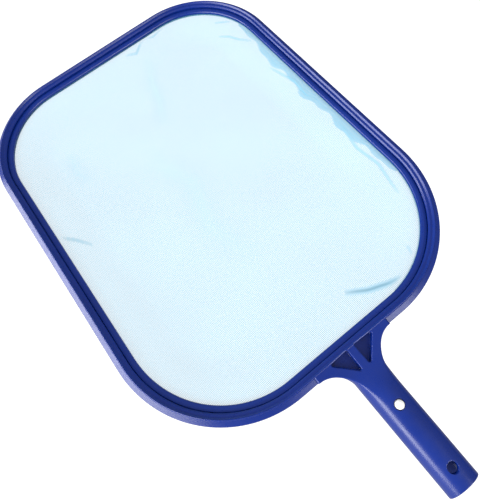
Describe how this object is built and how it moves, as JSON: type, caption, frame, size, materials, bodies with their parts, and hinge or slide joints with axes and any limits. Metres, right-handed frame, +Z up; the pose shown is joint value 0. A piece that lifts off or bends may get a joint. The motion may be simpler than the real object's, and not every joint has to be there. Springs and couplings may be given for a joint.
{
  "type": "leaf skimmer net",
  "caption": "Flat leaf skimmer: moulded rounded frame holding a shallow fine mesh net, with a tubular socket and sprung locking buttons for a telescoping pole.",
  "frame": {"origin": "centre of the bounding box's bottom, level with the tip of the back button, which is the lowest point", "axes": "+Z up towards the open side of the net, -Y along the handle socket towards its mouth, +X to the right seen from the mouth"},
  "size_m": [0.3084, 0.5078, 0.0318],
  "materials": {
    "frame_plastic": "satin navy blue injection moulded plastic",
    "ring_plastic": "satin navy blue injection moulded plastic",
    "net_mesh": "fine pale blue woven mesh",
    "spring_steel": "bare stainless spring strip",
    "button_nylon": "white nylon"
  },
  "bodies": {
    "root": {"frame": "frame_plastic", "net_ring": "ring_plastic", "net": "net_mesh", "v_spring": "spring_steel"},
    "front_button": {"front_button": "button_nylon"},
    "back_button": {"back_button": "button_nylon"}
  },
  "joints": [
    {"name": "front_button_press", "type": "slide", "parent": "root", "child": "front_button", "axis": [0, 0, -1], "range_m": [0, 0.0027], "stiffness_N_per_m": 3000, "deforming": ["v_spring"]},
    {"name": "back_button_press", "type": "slide", "parent": "root", "child": "back_button", "axis": [0, 0, 1], "range_m": [0, 0.0027], "stiffness_N_per_m": 3000, "deforming": ["v_spring"]}
  ]
}
